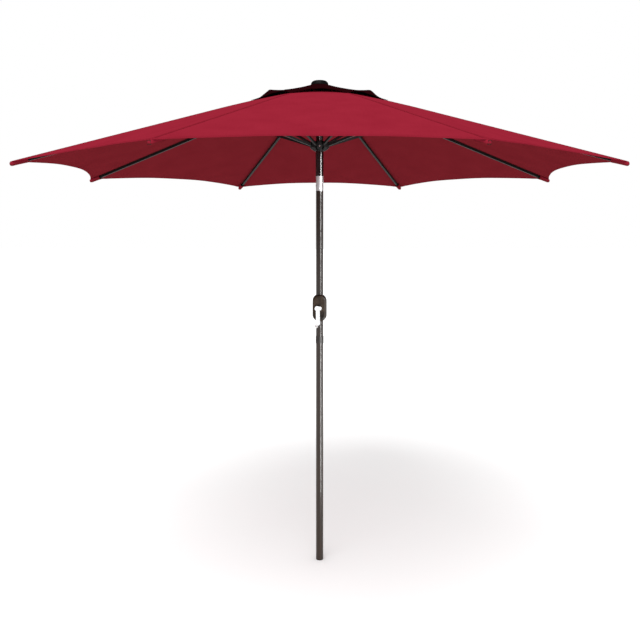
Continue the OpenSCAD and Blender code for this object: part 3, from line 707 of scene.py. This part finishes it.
def pocket_grid(k, skin):
    """Loops round the rib's end, from the pocket's mouth to its closed end."""
    stations = np.concatenate([np.linspace(0, 0.84, 11), np.linspace(CLOSING, 1, 8)])[:, None]
    angle = ROUND[None, :]
    depth = POCKET_DEPTH + MOUTH_DEPTH * (1 - stations) ** 2
    wide = POCKET_HALF_W + MOUTH_W * (1 - stations) ** 2
    across = np.sign(np.cos(angle)) * np.abs(np.cos(angle)) ** BOXY * (wide + skin)
    up = np.sign(np.sin(angle)) * np.abs(np.sin(angle)) ** BOXY
    up = np.where(up > 0, up * POCKET_TOP, up * (depth + skin))
    pucker = 0.0004 * np.sin(7 * angle + 9 * stations) * (1 - stations)
    closing = np.sqrt(1 - np.clip((stations - CLOSING) / (1 - CLOSING), 0, 0.999) ** 2)
    along = POCKET_FROM + POCKET_L * stations + skin + 0 * angle
    return along_rib(k, along, (across + pucker) * closing, up * closing)


print("a pocket covers the last", round(OUTER_L - POCKET_FROM, 4), "m of its rib")

# %% Sew the pockets
pockets = []
for k in range(1, RIBS + 1):
    sewing = Sewing()
    inner, outer = pocket_grid(k, 0.0), pocket_grid(k, POCKET_SKIN)
    spread = np.stack([outer[..., 2] * 3, np.linalg.norm(outer[..., :2], axis=-1)], -1)
    points, faces, finishes, thread = sheet_parts(inner, outer, spread)
    # Faces turned down take the darker underside cloth: painted shade.
    faces_down_painted_shade = np.sin(ROUND)[faces % len(ROUND)].mean(-1) < -0.3
    sewing.add(points, faces, np.where(faces_down_painted_shade, UNDER, finishes), thread)
    for station in (1, 2):
        path = outer[station]
        centre = path[:-1].mean(0)
        sewing.add_stitches(path, unit(path - centre), length=0.003, gap=0.002)
    pocket = sewing.piece(f"corner_pocket_{k}", [CANOPY_RED, CANOPY_UNDERSIDE_PAINTED_SHADE, THREAD_RED],
                          Matrix.Identity(4))
    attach(pocket, f"rib_{k}")
    pockets.append(pocket)
print(len(pockets), "pockets at the rib ends")

for k, cloth in enumerate(panels, 1):
    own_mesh(cloth)
    f"rib_{(k - 2) % RIBS + 1}"
    seams[k - 1]
    pockets[k - 1]

# %% [markdown]
# ## The wind vent's cap
# Above the panels sits a small second canopy, so that wind can blow out through the gap.
# It is clamped flat between the crown and the finial, slopes down with the ribs, and
# arches up between them, higher at the two sides, where it has been lifted, and its hem
# turns down. The flat part stays with the crown. Each sloping flap rides with the panel
# below it.

# %% Shape of the cap
VENT_R, VENT_INSET = 0.375, 0.056
LOW_ARCH, SIDE_ARCH = (0.020, 0.3), (0.066, 0.82)   # height, and how much its hem drops
HUB_R = 0.050
VENT_FLAT_R = HUB_R / math.cos(HALF) + 0.003
VENT_INNER_R = 0.030
CAP_Z = 2.4882
VENT_T, VENT_HEM_T = 0.0011, 0.0006
VENT_TIP_Z = float(rib_line(VENT_R)) + 0.0135    # clear of the panels' seam
TURN_DOWN_FROM, VENT_HEM_FROM = 0.82, 0.952


def vent_surface(s, t, arch):
    """Points of a vent flap's lower face, arched up between the ribs and down at its hem."""
    arch_h, drop = arch
    r = VENT_FLAT_R + (VENT_R - VENT_FLAT_R) * s
    bow = 1 - t * t
    inset = VENT_INSET * s ** 2 * bow
    rise = inset * math.tan(RIB_SLOPE) / math.cos(HALF)
    droop = drop * np.clip((s - TURN_DOWN_FROM) / (1 - TURN_DOWN_FROM), 0, 1) ** 2
    lifted = arch_h * (s ** 1.5 - droop) * bow ** 1.7
    crease = 0.0012 * np.sin(14 * t) * bow * s ** 2
    return np.stack([r * math.cos(HALF) - inset, t * (r * math.sin(HALF) - EDGE_GAP),
                     CAP_Z - (CAP_Z - VENT_TIP_Z) * s + rise + lifted + crease], -1)


def flap_grids(arch):
    """Lower and upper faces of a flap, which is doubled at its hem."""
    rows = np.concatenate([np.linspace(0, 0.80, 17), np.linspace(TURN_DOWN_FROM, 1, 12)])
    s, t = np.meshgrid(rows, COLUMNS[::2], indexing="ij")
    lower = vent_surface(s, t, arch)
    thick = VENT_T + VENT_HEM_T * (s > VENT_HEM_FROM)
    return lower, lower + normals_of(lower) * thick[..., None]


for arch in (LOW_ARCH, SIDE_ARCH):
    print("a flap arched by", arch[0], "reaches", flap_grids(arch)[1].max((0, 1)).round(4))

# %% Sew the cap
LIFTED_SIDES = (1, 5)
flaps = []
for k in range(1, RIBS + 1):
    arch = SIDE_ARCH if k in LIFTED_SIDES else LOW_ARCH
    lower, upper = flap_grids(arch)
    sewing = Sewing()
    sewing.add(*sheet_parts(lower, upper, thread_map(upper)))
    hem = vent_surface(np.full_like(COLUMNS, 0.965), COLUMNS * 0.98, arch)
    sewing.add_stitches(hem + np.array([0, 0, VENT_T + VENT_HEM_T]),
                        np.tile([0.25, 0, 0.97], (len(hem), 1)))
    flap = sewing.piece(f"vent_flap_{k}", [VENT_DARK, VENT_DARK, VENT_DARK],
                        turned(panel_azimuth(k)))
    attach(flap, f"panel_{k}")
    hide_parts("vent_canopy")
    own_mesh(flap)
    grid_area(upper)
    flaps.append(flap)
print("vent flaps:", len(flaps), "of about", round(grid_area(upper), 4), "square metres")

# %% The flat part on the crown
turn = np.linspace(0, 2 * math.pi, 65)[None, :]
reach = np.linspace(0, 1, 6)[:, None]
corner_r = VENT_FLAT_R * math.cos(HALF) / np.cos((turn + HALF) % STEP - HALF)
disc_r = VENT_INNER_R + (corner_r - VENT_INNER_R) * reach
pucker = 0.0001 * np.sin(RIBS * turn) * reach
disc = np.stack([disc_r * np.cos(turn), disc_r * np.sin(turn), CAP_Z + pucker], -1)
sewing = Sewing()
sewing.add(*sheet_parts(disc, disc + np.array([0, 0, VENT_T]), disc[..., :2]))
vent_disc = sewing.piece("vent_disc", [VENT_DARK, VENT_DARK], Matrix.Identity(4))
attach(vent_disc, "canopy_pole")
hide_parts("vent_canopy")
grid_area(disc)
print("flat part of the cap is", round(2 * VENT_FLAT_R, 3), "across")

# %% [markdown]
# ## The lift cord in front of the pole
# The cord comes over the pulley, drops in front of the pole and ends in the runner. When
# the runner slides down, more cord is paid out. Its strands are modelled as a twist in
# the radius.

# %% Plait the cord
CORD_R = 0.00125
STRANDS, TWIST = 3, 900           # strands each way, and radians in a metre of cord
drop_low, drop_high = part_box("lift_cord_drop")
cord_y = (drop_low.y + drop_high.y) / 2
up = np.linspace(drop_low.z, drop_high.z, 90)[:, None]
turn = np.linspace(0, 2 * math.pi, 17)[None, :-1]
strand = np.maximum(np.sin(STRANDS * turn + up * TWIST), np.sin(STRANDS * turn - up * TWIST))
radius = CORD_R * (0.90 + 0.12 * strand)
cord_grid = np.stack([radius * np.cos(turn), cord_y + radius * np.sin(turn),
                      up + 0 * turn], -1)
print("the cord is plaited from", cord_grid.shape[0], "rings of", cord_grid.shape[1], "points")

# %% Close the cord's surface
around = cord_grid.shape[1]
ring = np.arange(around)
ahead = np.roll(ring, -1)
rows = np.arange(len(up) - 1)[:, None] * around
walls = np.stack([rows + ring, rows + ahead, rows + around + ahead, rows + around + ring], -1)
last = (len(up) - 1) * around
ends = [ring[::-1].tolist(), (last + ring).tolist()]
mesh = bpy.data.meshes.new("lift_cord_braid")
mesh.from_pydata(cord_grid.reshape(-1, 3).tolist(), [],
                 walls.reshape(-1, 4).tolist() + ends)
mesh.materials.append(CORD_BRAID)
mesh.shade_smooth()
lift_cord = bpy.data.objects.new("lift_cord_braid", mesh)
bpy.context.scene.collection.objects.link(lift_cord)
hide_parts("lift_cord_drop")
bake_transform(lift_cord)
print("lift cord:", round(drop_high.z - drop_low.z, 3), "m between pulley and runner")

# %% [markdown]
# ## Floor, light and camera
# The umbrella stands on a pale floor in an even white studio. One tall, narrow strip to
# the right draws the long highlight on the pole, and a broad light in front and high up
# lifts the colour of the front panel above that of the underside, whose cloth is also
# painted darker as painted shade. The camera stands at head height, so it sees under
# the front hem to the far panels.

# %% Floor
FLOOR_HALF = 60.0
corners = [(x * FLOOR_HALF, y * FLOOR_HALF, 0)
           for x, y in ((-1, -1), (1, -1), (1, 1), (-1, 1))]
floor_mesh = bpy.data.meshes.new("studio_floor")
floor_mesh.from_pydata(corners, [], [(0, 1, 2, 3)])
floor = bpy.data.objects.new("studio_floor", floor_mesh)
bpy.context.scene.collection.objects.link(floor)
paper = Finish("StudioPaper", Roughness=0.95, Specular_IOR_Level=0.0)
mottle = paper.noise(paper.object_place(), 0.8, 2.0)
paper.feed({"Base Color": paper.blend(mottle, (0.90, 0.90, 0.90), (0.93, 0.93, 0.93))})
floor_mesh.materials.append(paper.material)
print("floor laid")

# %% Light
scene = bpy.context.scene
scene.view_settings.view_transform = "Standard"
world = bpy.data.worlds.new("Studio")
scene.world = world
world.use_nodes = True
sky = world.node_tree.nodes["Background"].inputs
sky["Color"].default_value, sky["Strength"].default_value = (1.0, 1.0, 1.0, 1), 1.0
world.cycles_visibility.glossy = False


def facing(place, target):
    """The turn that points a lamp at its target."""
    return (Vector(target) - Vector(place)).to_track_quat("-Z", "Y").to_euler()


def reflected_strip(name, place, target, size, power):
    """A strip of light that only shows in glossy surfaces, as a narrow studio lamp does."""
    lamp = bpy.data.lights.new(name, "AREA")
    lamp.shape, lamp.size, lamp.size_y = "RECTANGLE", *size
    lamp.energy = power
    made = bpy.data.objects.new(name, lamp)
    made.location = place
    made.rotation_euler = facing(place, target)
    made.visible_camera = made.visible_diffuse = False
    scene.collection.objects.link(made)


STRIP_Z = 1.13    # half way up the visible pole
reflected_strip("pole_light", (0.58, -0.69, STRIP_Z), (0, 0, STRIP_Z), (0.12, 2.2), power=45)
sun = bpy.data.lights.new("high_light", "SUN")
sun.energy, sun.angle = 1.9, math.radians(50)
high_light = bpy.data.objects.new("high_light", sun)
high_light.rotation_euler = facing((0, 0, 0), (0.25, 1.0, -1.35))
scene.collection.objects.link(high_light)
print("world, a tall light and a broad high light")

# %% Camera
CAMERA_PLACE = (0.002, -3.847, 1.734)
eye = bpy.data.cameras.new("eye")
eye.sensor_width, eye.lens = 36.0, 41.12
eye.shift_y = -0.1416
camera = bpy.data.objects.new("eye", eye)
camera.location = CAMERA_PLACE
camera.rotation_euler = (math.pi / 2, 0, 0)
scene.collection.objects.link(camera)
scene.camera = camera
print("camera at", CAMERA_PLACE)
